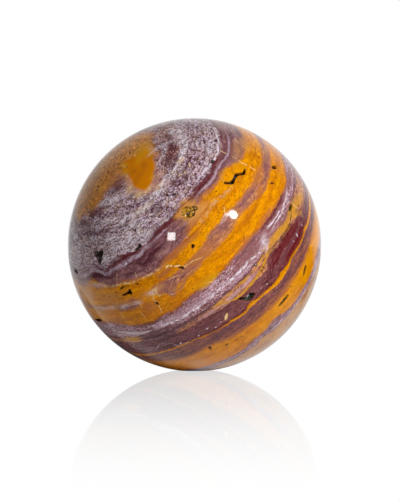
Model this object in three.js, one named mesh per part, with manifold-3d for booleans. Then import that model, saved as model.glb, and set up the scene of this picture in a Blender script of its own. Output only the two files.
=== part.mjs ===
// A polished sphere of ocean jasper: one piece of banded stone, ground round.
// The layers never closed everywhere, so small hollows and cracks open at its surface,
// and it stands on a small flat ground at its lowest point.
// Millimetres. +Z is up, -Y is the front, and the origin is the middle of the rest flat.
import * as THREE from 'three';
import { mergeVertices } from 'three/addons/utils/BufferGeometryUtils.js';
import Module from 'manifold-3d';

// Driving dimensions
const BALL_DIAMETER = 65;
const REST_FLAT_RADIUS = 4;

// The layers lie square to one axis, which leans to the front left of the ball
const BEDDING_AZIMUTH = -52;
const BEDDING_ELEVATION = 40;

// Facets of the ball
const FACETS_ROUND = 72;
const ROWS_BELOW_MIDDLE = 19;
const ROWS_ABOVE_MIDDLE = 20;

// A hollow's cutter reaches this far out of the stone, and its walls lean in over its lowest part
const CUTTER_REACH = 1.5;
const LEANING_SHARE = 0.6;
const OVAL_POINTS = 12;

// Worked out from the driving dimensions
const BALL_RADIUS = BALL_DIAMETER / 2;
const BALL_CENTRE_HEIGHT = Math.sqrt(BALL_RADIUS ** 2 - REST_FLAT_RADIUS ** 2);
const FLAT_EDGE_ANGLE = -Math.asin(BALL_CENTRE_HEIGHT / BALL_RADIUS);

// Outlines of the hollows' mouths: millimetres along the layers, then up across them
const HEART = [
  [-1.4, 0.1], [-1.1, 0.8], [-0.2, 0.65], [0.9, 0.8], [1.95, 1.55], [2.0, 0.9], [1.2, -0.6],
  [0.65, -2.05], [0.3, -2.1], [-0.9, -1.1],
];
const WINDING_CRACK = [
  [-3.1, 2.0], [-2.4, 0.6], [-1.0, 0.15], [0.6, 0.35], [1.5, -0.8], [2.0, -1.4], [3.7, -1.4],
  [2.8, -1.8], [1.8, -1.95], [0.5, -0.4], [-0.8, -0.2], [-2.6, -0.3], [-3.45, 1.65],
];
const STEPPED_POCKET = [
  [-1.9, 1.0], [-1.6, 1.35], [-0.3, 0.05], [1.3, 0.3], [2.05, -1.0], [0.7, -1.35], [-0.35, -1.65],
];
const SLIT_WITH_HEAD = [
  [-1.9, 0.05], [0.4, 0.2], [1.0, 0.75], [1.35, 0.75], [1.4, -0.4], [1.2, -0.65], [0.3, -0.15], [-1.7, -0.2],
];
const LEDGE_POCKET = [
  [-1.5, -0.35], [0.2, 0.1], [0.8, 0.6], [0.95, -0.2], [0.5, -0.45], [-0.6, -0.55],
];

function oval(halfLength, halfWidth, tilt) {
  const points = [];
  const turn = THREE.MathUtils.degToRad(tilt);
  for (let i = 0; i < OVAL_POINTS; i += 1) {
    const angle = (2 * Math.PI * i) / OVAL_POINTS;
    const along = halfLength * Math.cos(angle);
    const across = halfWidth * Math.sin(angle);
    points.push([
      along * Math.cos(turn) - across * Math.sin(turn),
      along * Math.sin(turn) + across * Math.cos(turn),
    ]);
  }
  return points;
}

// The same kind of hollow in another size, turned half round in the layers
function opposite(outline, scale) {
  return outline.map(([along, up]) => [-along * scale, -up * scale]);
}

// Every open hollow. turn is in degrees round the bedding axis from the front, height is along
// that axis from the ball's centre, and slope is how far the walls lean in.
const HOLLOWS = [
  { turn: -57, height: 23.1, depth: 2.2, slope: 0.3, outline: HEART },
  { turn: 43, height: 16.9, depth: 1.3, slope: 0.12, outline: WINDING_CRACK },
  { turn: 1, height: -3.25, depth: 1.6, slope: 0.25, outline: STEPPED_POCKET },
  { turn: -44, height: 14.1, depth: 1.2, slope: 0.1, outline: SLIT_WITH_HEAD },
  { turn: -26, height: 21.8, depth: 0.9, slope: 0.1, outline: LEDGE_POCKET },
  { turn: 62, height: 8.35, depth: 1.1, slope: 0.15, outline: oval(0.95, 0.45, -30) },
  { turn: 47, height: 0.9, depth: 0.9, slope: 0.1, outline: oval(1.2, 0.38, -4) },
  { turn: -76, height: 7.1, depth: 1.1, slope: 0.12, outline: oval(2.3, 0.42, 14) },
  { turn: 13, height: -13.4, depth: 0.7, slope: 0.15, outline: oval(1.9, 0.5, 0) },
  { turn: 32, height: -13.4, depth: 0.7, slope: 0.15, outline: oval(1.35, 0.5, 34) },
  { turn: 134, height: 17.6, depth: 1.3, slope: 0.12, outline: opposite(WINDING_CRACK, 0.8) },
  { turn: -146, height: 21.4, depth: 1.8, slope: 0.25, outline: opposite(HEART, 0.85) },
  { turn: 176, height: 8.8, depth: 1.1, slope: 0.12, outline: oval(2.1, 0.45, -12) },
  { turn: -118, height: -3.6, depth: 1.4, slope: 0.2, outline: opposite(STEPPED_POCKET, 0.9) },
  { turn: 104, height: 1.6, depth: 1.0, slope: 0.1, outline: opposite(SLIT_WITH_HEAD, 0.9) },
  { turn: -160, height: -12.9, depth: 1.2, slope: 0.15, outline: oval(1.7, 0.6, 20) },
  { turn: 148, height: -14.2, depth: 0.9, slope: 0.15, outline: oval(1.3, 0.5, -24) },
];

const POLISHED_JASPER = new THREE.MeshStandardMaterial({ color: 0xb07a3c, roughness: 0.12, metalness: 0 });

const wasm = await Module();
wasm.setup();

function solidFrom(geometry) {
  const bare = geometry.clone();
  bare.deleteAttribute('normal');
  bare.deleteAttribute('uv');
  const merged = mergeVertices(bare);
  return new wasm.Manifold(new wasm.Mesh({
    numProp: 3,
    vertProperties: new Float32Array(merged.attributes.position.array),
    triVerts: new Uint32Array(merged.index.array),
  }));
}

function geometryFrom(solid) {
  const mesh = solid.getMesh();
  const geometry = new THREE.BufferGeometry();
  geometry.setAttribute('position', new THREE.BufferAttribute(mesh.vertProperties, 3));
  geometry.setIndex(new THREE.BufferAttribute(mesh.triVerts, 1));
  geometry.computeVertexNormals();
  return geometry;
}

// The ball's half section: across the rest flat, up round the middle and in to the top
function ballGeometry() {
  const profile = [new THREE.Vector2(0, 0)];
  const addPoint = (angle) => profile.push(new THREE.Vector2(
    BALL_RADIUS * Math.cos(angle),
    BALL_CENTRE_HEIGHT + BALL_RADIUS * Math.sin(angle),
  ));
  for (let row = 0; row < ROWS_BELOW_MIDDLE; row += 1) {
    addPoint(FLAT_EDGE_ANGLE * (1 - row / ROWS_BELOW_MIDDLE));
  }
  for (let row = 0; row < ROWS_ABOVE_MIDDLE; row += 1) {
    addPoint((Math.PI / 2) * (row / ROWS_ABOVE_MIDDLE));
  }
  profile.push(new THREE.Vector2(0, BALL_CENTRE_HEIGHT + BALL_RADIUS));
  return new THREE.LatheGeometry(profile, FACETS_ROUND).rotateX(Math.PI / 2);
}

// The bedding axis, and the direction square to it that faces the front
const azimuth = THREE.MathUtils.degToRad(BEDDING_AZIMUTH);
const elevation = THREE.MathUtils.degToRad(BEDDING_ELEVATION);
const beddingAxis = new THREE.Vector3(
  Math.sin(azimuth) * Math.cos(elevation),
  -Math.cos(azimuth) * Math.cos(elevation),
  Math.sin(elevation),
);
const front = new THREE.Vector3(0, -1, 0);
const frontAcross = front.clone().addScaledVector(beddingAxis, -front.dot(beddingAxis)).normalize();

// Stands a shape on the ball: x along the layers, y up across them, z out of the stone
function placeOnBall(turn, height) {
  const share = height / BALL_RADIUS;
  const outward = frontAcross.clone()
    .applyAxisAngle(beddingAxis, THREE.MathUtils.degToRad(turn))
    .multiplyScalar(Math.sqrt(1 - share ** 2))
    .addScaledVector(beddingAxis, share);
  const along = beddingAxis.clone().cross(outward).normalize();
  const up = outward.clone().cross(along);
  const place = new THREE.Matrix4().makeBasis(along, up, outward);
  const point = outward.clone().multiplyScalar(BALL_RADIUS);
  return place.setPosition(point.x, point.y, point.z + BALL_CENTRE_HEIGHT);
}

function hollowCutter({ turn, height, depth, slope, outline }) {
  const leaning = depth * LEANING_SHARE;
  const shape = new THREE.Shape(outline.map(([along, up]) => new THREE.Vector2(along, up)));
  const cutter = new THREE.ExtrudeGeometry(shape, {
    depth: depth - leaning + CUTTER_REACH,
    bevelThickness: leaning,
    bevelSize: slope,
    bevelOffset: -slope,
    bevelSegments: 1,
  });
  cutter.translate(0, 0, leaning - depth);
  return solidFrom(cutter.applyMatrix4(placeOnBall(turn, height)));
}

let stone = solidFrom(ballGeometry());
for (const hollow of HOLLOWS) {
  stone = stone.subtract(hollowCutter(hollow));
}

const jasperSphere = new THREE.Mesh(geometryFrom(stone), POLISHED_JASPER);
jasperSphere.name = 'jasper_sphere';

const part = new THREE.Group();
part.add(jasperSphere);

export default part;
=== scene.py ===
"""A polished sphere of ocean jasper: banded stone with open hollows, on a pale floor in soft studio light."""

import math
from collections import namedtuple

import bmesh
import bpy
import numpy as np
from bpy.props import FloatProperty, FloatVectorProperty, PointerProperty
from mathutils import Matrix, Vector, noise


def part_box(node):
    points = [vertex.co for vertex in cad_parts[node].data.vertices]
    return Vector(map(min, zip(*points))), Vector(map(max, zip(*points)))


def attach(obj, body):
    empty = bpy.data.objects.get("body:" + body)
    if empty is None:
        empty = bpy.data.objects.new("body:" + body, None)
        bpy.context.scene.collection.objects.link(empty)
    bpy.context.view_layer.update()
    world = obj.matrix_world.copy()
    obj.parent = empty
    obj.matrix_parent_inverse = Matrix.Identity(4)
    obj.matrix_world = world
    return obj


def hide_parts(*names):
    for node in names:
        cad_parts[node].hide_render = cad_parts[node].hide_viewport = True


bl_info = {
    "name": "Ocean jasper sphere",
    "version": (1, 0, 0),
    "blender": (4, 5, 0),
    "location": "3D View > Sidebar > Jasper",
    "description": "Makes a polished sphere of banded ocean jasper and the studio it stands in",
    "category": "Add Mesh",
}

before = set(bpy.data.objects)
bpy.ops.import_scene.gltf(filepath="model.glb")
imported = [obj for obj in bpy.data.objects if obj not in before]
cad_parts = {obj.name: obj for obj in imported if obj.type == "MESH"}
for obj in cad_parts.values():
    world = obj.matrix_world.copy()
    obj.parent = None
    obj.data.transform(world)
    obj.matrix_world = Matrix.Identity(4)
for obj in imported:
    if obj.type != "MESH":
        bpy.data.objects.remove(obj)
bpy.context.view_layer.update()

MM = 0.001
NODE = "jasper_sphere"
BODY = "root"
NODE_LOW, NODE_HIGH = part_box(NODE)
BALL_RADIUS = (NODE_HIGH.x - NODE_LOW.x) / 2
BALL_CENTRE = Vector((0, 0, NODE_HIGH.z - BALL_RADIUS))
REST_HEIGHT = NODE_LOW.z
RADIUS_MM = BALL_RADIUS / MM

WHITE = (1, 1, 1, 1)
RIGHT = Vector((1, 0, 0))
BACK = Vector((0, 1, 0))
FRONT = -BACK


def way_to(azimuth, elevation):
    """The direction at an azimuth from the front, to the right, and an elevation, in degrees."""
    azimuth, elevation = math.radians(azimuth), math.radians(elevation)
    level = math.cos(elevation)
    return Vector((math.sin(azimuth) * level, -math.cos(azimuth) * level, math.sin(elevation)))


# The stone's layers lie square to one axis, which leans to the front left of the ball.
# A place on the ball is a turn in degrees round that axis, from the front, and a level along it,
# from -1 at its low end to 1 at its high end. Sizes on the surface are in millimetres.
BEDDING = way_to(-52, 40)
FRONT_ACROSS = (FRONT - BEDDING * FRONT.dot(BEDDING)).normalized()
SIDE_ACROSS = BEDDING.cross(FRONT_ACROSS)


def direction(turn, level):
    """The way out of the ball at a turn and level."""
    angle = math.radians(turn)
    ring = math.sqrt(1 - level * level)
    return BEDDING * level + (FRONT_ACROSS * math.cos(angle) + SIDE_ACROSS * math.sin(angle)) * ring


def axes_at(turn, level):
    """The directions along the layers, up across them and out of the stone, at a place on the ball."""
    outward = direction(turn, level)
    along = BEDDING.cross(outward).normalized()
    return along, outward.cross(along), outward


# Edges between the layers, from the high end down: each is the top of the layer named, as a level at
# each turn
EDGES = {
    "cap_rim": {
        -180: .9, -90: .855, -84: .886, -67: .901, -56: .935, -45: .976, -22: .986, -11: .968, -5: .923,
        0: .887, 4: .879, 12: .89, 22: .91, 53: .951, 77: .963, 90: .941, 117: .939, 150: .925, 180: .9,
    },
    "speckled": {
        -180: .8, -120: .8, -90: .83, -75: .865, -50: .93, -40: .945, -25: .945, -12: .93, -4: .895, 4: .86,
        20: .865, 40: .855, 90: .85, 120: .83, 180: .8,
    },
    "maroon_seam": {
        -180: .66, -140: .64, -110: .6, -95: .595, -80: .62, -75: .645, -70: .66, -65: .655, -57: .637,
        -52: .617, -50: .63, -47: .655, -45: .665, -41: .677, -30: .665, -20: .662, -16: .668, -10: .7,
        5: .69, 8: .705, 12: .7, 20: .692, 25: .7, 30: .692, 35: .683, 38: .675, 45: .68, 50: .67, 58: .65,
        65: .66, 80: .66, 95: .67, 120: .65, 150: .67, 180: .66,
    },
    "lilac_line": {
        -180: .62, -140: .6, -110: .575, -95: .575, -80: .605, -75: .62, -70: .64, -65: .643, -60: .63,
        -54: .605, -52: .6, -50: .613, -42: .637, -33: .643, -25: .65, -15: .655, -12: .668, -8: .668,
        -4: .662, 4: .67, 16: .672, 25: .665, 30: .656, 45: .652, 48: .637, 53: .615, 60: .625, 95: .64,
        120: .62, 150: .635, 180: .62,
    },
    "plum": {
        -180: .58, -140: .57, -95: .535, -80: .55, -70: .575, -65: .597, -61: .615, -55: .6, -52: .593,
        -45: .603, -40: .612, -34: .625, -28: .617, -25: .623, -23: .635, -5: .645, 5: .64, 16: .65,
        30: .642, 45: .628, 50: .603, 53: .597, 56: .605, 95: .6, 120: .59, 150: .6, 180: .58,
    },
    "mauve": {
        -180: .56, -110: .52, -90: .53, -75: .53, -70: .565, -66: .58, -60: .575, -55: .557, -50: .56,
        -45: .575, -40: .595, -35: .6, -30: .59, -27: .555, -22: .555, -18: .575, -14: .58, -10: .6,
        -5: .645, 5: .65, 180: .65,
    },
    "high_orange": {
        -180: .5, -140: .49, -110: .48, -90: .49, -75: .5, -71: .53, -67: .56, -64: .565, -60: .53,
        -57: .52, -50: .505, -45: .518, -35: .503, -30: .495, -26: .485, -20: .49, -17: .508, -14: .52,
        -5: .525, 1: .55, 4: .565, 7: .595, 14: .605, 17: .62, 20: .635, 35: .61, 40: .605, 44: .603,
        47: .58, 50: .557, 53: .53, 57: .515, 80: .5, 120: .51, 180: .5,
    },
    "rosy_lens": {
        -180: .4, -150: .4, -120: .37, -75: .36, -58: .385, -53: .385, -49: .378, -42: .388, -39: .36,
        -36: .34, -33: .35, -31: .39, -28: .4, -12: .405, 0: .415, 5: .43, 9: .452, 15: .442, 20: .425,
        28: .428, 34: .414, 39: .402, 45: .392, 60: .363, 75: .37, 120: .39, 150: .41, 180: .4,
    },
    "main_orange": {
        -180: .36, -90: .33, -65: .35, -58: .38, -55: .345, -52: .32, -47: .318, -44: .312, -41: .325,
        -39: .36, -36: .38, -33: .38, -30: .355, -27: .34, -25: .315, -23: .27, -21: .29, -18: .33,
        -6: .332, 0: .355, 18: .352, 21: .361, 25: .366, 29: .357, 34: .34, 39: .324, 45: .295, 55: .295,
        60: .285, 75: .3, 120: .33, 150: .36, 180: .36,
    },
    "lilac_band": {
        -180: .19, -150: .2, -100: .17, -85: .185, -80: .2, -65: .225, -60: .215, -52: .19, -48: .175,
        -40: .16, -37: .166, -34: .18, -30: .182, -28: .172, -25: .18, -21: .195, -17: .205, 5: .195, 8: .2,
        12: .202, 16: .192, 21: .196, 25: .185, 31: .168, 40: .158, 48: .143, 54: .128, 60: .13, 66: .15,
        85: .15, 130: .18, 180: .19,
    },
    "dark_seam": {
        -180: .05, -150: .06, -120: .05, -85: .07, -68: .08, -60: .085, -55: .075, -50: .085, -45: .09,
        -36: .085, -32: .07, -28: .05, -10: .047, 6: .042, 12: .045, 18: .042, 22: .045, 25: .055, 28: .066,
        33: .062, 42: .048, 52: .052, 58: .047, 80: .05, 130: .07, 155: .055, 180: .05,
    },
    "patchy_orange": {
        -180: .02, -150: .03, -120: .02, -85: .03, -75: .04, -68: .05, -64: .075, -58: .078, -54: .068,
        -51: .03, -49: -.03, -40: -.03, -36: -.02, -33: 0, -30: .02, -15: .025, -10: .03, -5: .028, 0: .033,
        5: .025, 14: .03, 18: .02, 21: .03, 24: .045, 27: .06, 40: .048, 43: .035, 60: .02, 80: .01,
        130: .03, 180: .02,
    },
    "maroon_band": {
        -180: -.04, -150: -.03, -120: -.03, -100: -.01, -75: 0, -66: .02, -60: .012, -52: .02, -49: 0,
        -38: 0, -33: -.015, -18: -.02, -10: -.042, -5: -.05, 0: -.057, 9: -.055, 12: -.068, 15: -.07,
        19: -.015, 22: -.008, 28: -.015, 31: -.005, 38: 0, 40: -.02, 42: -.055, 47: -.055, 50: -.06,
        53: -.085, 57: -.1, 62: -.1, 80: -.07, 130: -.03, 180: -.04,
    },
    "orange_line": {
        -180: -.12, -150: -.13, -95: -.13, -65: -.14, -52: -.135, -44: -.13, -38: -.13, -27: -.145,
        -22: -.162, -18: -.171, -11: -.172, -5: -.19, -3: -.19, -1.5: -.165, 1: -.162, 4: -.18, 8: -.19,
        15: -.203, 18: -.197, 20: -.188, 23: -.195, 26: -.192, 29: -.18, 32: -.18, 34: -.19, 40: -.198,
        43: -.19, 46: -.18, 49: -.187, 60: -.18, 100: -.15, 180: -.12,
    },
    "dusky": {
        -180: -.15, -95: -.15, -65: -.165, -47: -.15, -30: -.15, -27: -.16, -22: -.173, -14: -.186,
        -11: -.195, -8: -.208, -5: -.212, -3: -.207, -1.5: -.2, 8: -.214, 12: -.23, 15: -.243, 18: -.246,
        20: -.237, 23: -.232, 26: -.22, 29: -.206, 34: -.208, 38: -.215, 43: -.21, 53: -.216, 60: -.21,
        100: -.18, 180: -.15,
    },
    "low_orange": {
        -180: -.26, -90: -.24, -70: -.25, -52: -.27, -33: -.282, -28: -.27, -20: -.3, -10: -.333, 0: -.35,
        12: -.35, 24: -.337, 30: -.33, 33: -.335, 36: -.325, 60: -.295, 80: -.28, 145: -.27, 180: -.26,
    },
    "lilac_seam": {
        -180: -.46, -120: -.46, -70: -.49, -45: -.512, -38: -.523, -24: -.53, -18: -.533, -14: -.51,
        -3: -.51, 0: -.495, 3: -.482, 6: -.485, 9: -.51, 13: -.525, 18: -.538, 28: -.525, 40: -.508,
        45: -.485, 60: -.47, 110: -.48, 180: -.46,
    },
    "tan_orange": {
        -180: -.56, -150: -.54, -90: -.57, -45: -.59, -40: -.6, -34: -.587, -28: -.597, -14: -.598,
        -8: -.565, -3: -.585, 18: -.59, 38: -.575, 180: -.56,
    },
    "low_plum": {-180: -.8, -120: -.78, -60: -.81, 0: -.83, 60: -.84, 120: -.8, 180: -.8},
    "foot_lilac": {-180: -.86, -120: -.85, -60: -.88, 0: -.89, 60: -.9, 120: -.87, 180: -.86},
    "foot_orange": {-180: -.95, -90: -.94, 0: -.955, 90: -.96, 180: -.95},
}

# How each layer is coloured: its dark and light colours from the palette, the grain that mixes them and
# the grain values between which it goes from dark to light, how soft its top edge is, in millimetres, how
# much its colour varies from grain to grain, and the colour and strength of the thin lines along it
Layer = namedtuple("Layer", "dark light grain low high softness contrast line line_strength")
LAYERS = {
    "cap": Layer("brown", "ochre", "mottle", .42, .58, .3, 5.5, "russet", .6),
    "cap_rim": Layer("plum", "blush", "granular", .47, .58, 1.4, 3.4, "pale", .4),
    "speckled": Layer("plum", "lilac", "granular", .47, .56, 1.8, 4.2, "cream", .3),
    "maroon_seam": Layer("maroon", "plum", "laminae", .46, .62, .35, 3, "mauve", .5),
    "lilac_line": Layer("plum", "mauve", "laminae", .44, .62, .3, 3, "lilac", .5),
    "plum": Layer("dark_plum", "plum", "laminae", .38, .58, .4, 3.2, "mauve", .6),
    "mauve": Layer("plum", "mauve", "streak", .41, .62, .9, 3.6, "blush", .6),
    "high_orange": Layer("deep_orange", "orange", "mottle", .42, .56, .8, 3.2, "russet", .7),
    "rosy_lens": Layer("rosy_plum", "copper", "streak", .42, .64, .8, 4.2, "tan", .5),
    "main_orange": Layer("deep_orange", "orange", "mottle", .44, .58, .8, 2.6, "russet", .5),
    "lilac_band": Layer("rosy_plum", "orchid", "fibre", .46, .6, .5, 3.8, "pale", .5),
    "dark_seam": Layer("plum", "mauve", "laminae", .42, .58, .4, 4.4, "dark_plum", .8),
    "patchy_orange": Layer("rosy_plum", "copper", "streak", .45, .6, .5, 4.2, "tan", .6),
    "maroon_band": Layer("maroon", "rosy_plum", "laminae", .41, .58, .5, 4, "dark_plum", .8),
    "orange_line": Layer("deep_orange", "orange", "laminae", .36, .52, .2, 2, "russet", .4),
    "dusky": Layer("plum", "rose", "streak", .43, .66, .3, 3.4, "mauve", .4),
    "low_orange": Layer("deep_orange", "orange", "mottle", .38, .54, 1.6, 2.2, "rose", .4),
    "lilac_seam": Layer("rosy_plum", "lilac", "streak", .42, .6, .8, 4.4, "plum", .6),
    "tan_orange": Layer("rose", "tan", "mottle", .36, .52, .9, 1.8, "blush", .4),
    "low_plum": Layer("plum", "mauve", "laminae", .4, .6, .6, 3, "lilac", .5),
    "foot_lilac": Layer("mauve", "lilac", "granular", .44, .56, .6, 3.6, "plum", .4),
    "foot_orange": Layer("deep_orange", "orange", "mottle", .4, .56, .6, 2, "russet", .5),
}

# The stone's noises: their stretch round the bedding axis and along it, scale, detail and roughness
NOISES = {
    "laminae": (.2, 1.6, 1.3, 5, .62),
    "clouds": (.2, 1.6, .45, 3, .5),
    "creamy": (.2, 1.6, .8, 4, .66),
    "streaks": (.5, 1.7, 1.7, 4, .7),
    "drifts": (.24, .7, 1, 3, .6),
    "fibre": (1.7, .4, 1.5, 3, .65),
    "broad": (1, 1, .16, 2, .55),
    "mottle": (1, 1, .42, 5, .62),
    "ripple": (1, 1, .5, 5, .6),
    "middling": (1, 1, .9, 5, .66),
    "beading": (1, 1, 1.1, 2, .5),
    "fraying": (1, 1, 2.2, 3, .6),
    "fine": (1, 1, 3.4, 2, .8),
    "sheets": (.14, 0, 1, 5, .7),
}
SHEETS_TO_A_MM = 2

# What each grain is mixed from, and the shares of a layer's contrast for fine grains and for streaks
Mix = namedtuple("Mix", "shares fine streaks")
MIXES = {
    "mottle": Mix({"clouds": .4, "mottle": .35, "laminae": .25}, .45, .5),
    "streak": Mix({"clouds": .25, "mottle": .2, "laminae": .45, "streaks": .1}, .5, .7),
    "laminae": Mix({"laminae": .75, "clouds": .15, "streaks": .1}, .45, .8),
    "granular": Mix({"laminae": .1, "mottle": .2, "streaks": .3, "fine": .4}, 1, .5),
    "fibre": Mix({"laminae": .2, "mottle": .1, "streaks": .25, "fine": .25, "fibre": .2}, 1, .6),
}
LACE = {"fine": .4, "streaks": .35, "drifts": .3}

# How much noises sway the levels, the turns and the laminae along an edge, and how much they fray marks
LEVEL_SWAYS = {"broad": .02, "middling": .035, "fine": .008}
TURN_SWAY = .004
SHEET_SWAY = 5
PATCH_FRAYS = {"laminae": 1.3, "clouds": .8, "fine": 1, "streaks": 1}
MARK_FRAY = .32
ORB_FRAY = .12

# Thin lines: the value that each follows, and how far from it the line begins to fade and is gone
LINES = {
    "pale": (.57, .004, .03),
    "dark": (.44, .003, .02),
    "creamy": (.5, .01, .05),
    "orb_skin": (.95, .02, .06),
}

# The two values between which each thing comes in: values of noises and fields for the stone, parts of a
# direction for the room and the far floor, and metres for the rest of the floor
SLOPES = {
    "mark": (-.07, .07),
    "beads": (.42, .56),
    "patch_grains": (.9, 1.1),
    "speckled_top": (0, .03),
    "speckled_foot": (-.004, .004),
    "dark_lace": (.44, .52),
    "pale_lace": (.54, .62),
    "creamy_length": (.5, .58),
    "creamy_drift": (.47, .58),
    "orb_edge": (.97, 1.03),
    "orb_heart": (.08, .22),
    "orb_ring": (.5, .85),
    "rim_start": (0, .3),
    "rim_end": (.3, .7),
    "lining_glints": (.88, 1.08),
    "room": (.36, 1),
    "room_right": (-.4, .4),
    "room_white": (.93, .995),
    "soft_light": (0, .5),
    "foot": (.008, .013),
    "foot_left": (-.003, .002),
    "shadow_edge": (.85, 1.1),
    "shadow_fade": (.02, .12),
    "bounce": (0, .045),
    "far_floor": (.38, .62),
    "far_start": (.04, .11),
}

# How strong each thing is, from 0 to 1
STRENGTHS = {
    "dark_line": .09,
    "dark_lace": .5,
    "pale_lace": .85,
    "creamy": .55,
    "orb_ring": .8,
    "orb": .5,
    "rim": .5,
    "dull_lining": .25,
}

# Thin rims along the top edges of some layers: a colour, a width in millimetres and how strong it is
RIMS = {
    "high_orange": ("rose", .8, .5),
    "rosy_lens": ("rose", .6, .5),
    "main_orange": ("rose", .6, .5),
    "lilac_band": ("russet", .7, .55),
    "low_orange": ("rose", 1.2, .5),
    "orange_line": ("deep_red", .6, .5),
    "lilac_seam": ("rose", .5, .4),
}

# Thin lines that run along the layers: a colour, half a width in millimetres, how strong it is, how much
# of it is broken into beads, and its level at each turn
THREADS = (
    ("lilac", .42, .85, .6, {
        -84.5: .572, -76.6: .576, -69.4: .602, -63: .623, -57: .612, -52.8: .593, -49.2: .6, -45.5: .61,
        -41.7: .612, -37: .62, -32.4: .628, -26.8: .626, -23.8: .642, -19.5: .643, -16: .641, -12.7: .648,
    }),
    ("lilac", .2, .8, .4, {-86: .605, -77: .625, -70: .649, -62.6: .644, -57.7: .63}),
    ("lilac", .16, .8, .3, {-14: .655, -12.7: .659, -9: .659, -7: .665, -5.6: .645}),
    ("dark_plum", .2, .9, .3, {
        -35: .601, -30.3: .585, -25.9: .566, -21.6: .595, -18.5: .602, -15.1: .591, -10.8: .584,
    }),
    ("amber", .32, .95, .25, {
        -14: .002, -6.9: -.019, -1.4: -.049, 4.7: -.048, 10.2: -.039, 15.2: -.024, 18.6: -.001, 22: .01,
        25.3: -.006, 29.3: -.01,
    }),
    ("dark_plum", .15, .8, .2, {-12: .04, 0: .043, 8: .034, 12: .038, 16: .036, 20: .044, 26: .062}),
    ("plum", .3, .8, .3, {14: -.13, 17: -.135, 20.5: -.148, 26: -.135, 32: -.13, 38: -.135}),
    ("pale", .18, .9, .5, {24: .709, 31: .71, 38: .699, 44: .682, 51: .675, 61: .672, 80: .68}),
    ("pale", .2, .4, .7, {-50: .64, -44: .675, -36: .68, -22: .672, -12: .705, 4: .7, 14: .71}),
    ("lilac", .24, .7, .2, {18: .667, 25: .662, 30: .65, 36: .641, 46: .632, 53: .61, 60: .605, 78: .612}),
    ("russet", .14, .8, .3, {-8: .522, -2: .526, 6: .527, 16: .533}),
    ("cream", .26, .7, .95, {
        -72: .553, -65.5: .544, -59.7: .53, -52.4: .512, -47.3: .51, -40.7: .502, -36.4: .493, -31.9: .49,
        -22: .484, -16: .505,
    }),
    ("tan", .5, .8, .9, {6: .55, 15.2: .544, 19.5: .552, 25.3: .546, 33: .517, 38: .5}),
    ("russet", .2, .5, .8, {-4: .56, 6: .56, 15: .566, 22: .572}),
    ("maroon", .42, .9, .2, {24: .176, 30: .163, 35: .153, 40: .15, 45: .136, 52: .135}),
    ("plum", .45, .7, .3, {6: .184, 12: .178, 19: .176, 25: .178}),
    ("pale", .25, .8, .3, {-64: .144, -56: .11, -48: .095, -42: .1}),
    ("pale", .34, 1, .8, {
        -46: .1, -38: .1, -28: .092, -8.2: .1, -2.3: .104, 3.2: .095, 10.9: .095, 15.3: .078, 18.5: .071,
        22.1: .079, 26: .085,
    }),
    ("pale", .22, .8, .9, {28: .134, 31: .13, 34: .119, 37: .116, 43: .105}),
    ("pale", .24, .8, .8, {28: .09, 31: .094, 34: .099, 37: .093, 43: .074}),
    ("maroon", .14, .8, .2, {28: .108, 31: .107, 37: .103, 43: .092}),
    ("pale", .2, .8, .4, {40: .093, 44: .095, 48: .098, 54: .1}),
    ("maroon", .3, .8, .2, {-30: -.132, -24: -.142, -16: -.158}),
    ("maroon", .25, .8, .3, {-24: -.025, -16: -.03, -10: -.045, -2: -.056}),
    ("mauve", .3, .8, .4, {-68: -.05, -60: -.066, -54: -.074, -48: -.07}),
    ("dark_plum", .4, .6, .3, {-48: .03, -36: .035, -22: .034, -8: .04}),
    ("deep_red", .45, .8, .3, {18: -.046, 23: -.04, 31: -.045, 36: -.047, 42: -.06}),
    ("deep_red", .4, .8, .3, {24: -.16, 29: -.158, 33: -.156, 38: -.16, 43: -.155, 48: -.15}),
    ("dark_plum", .22, .8, .2, {20: .013, 27: 0, 33: -.013, 38: -.019, 43: -.006, 48: .025}),
)

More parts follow.
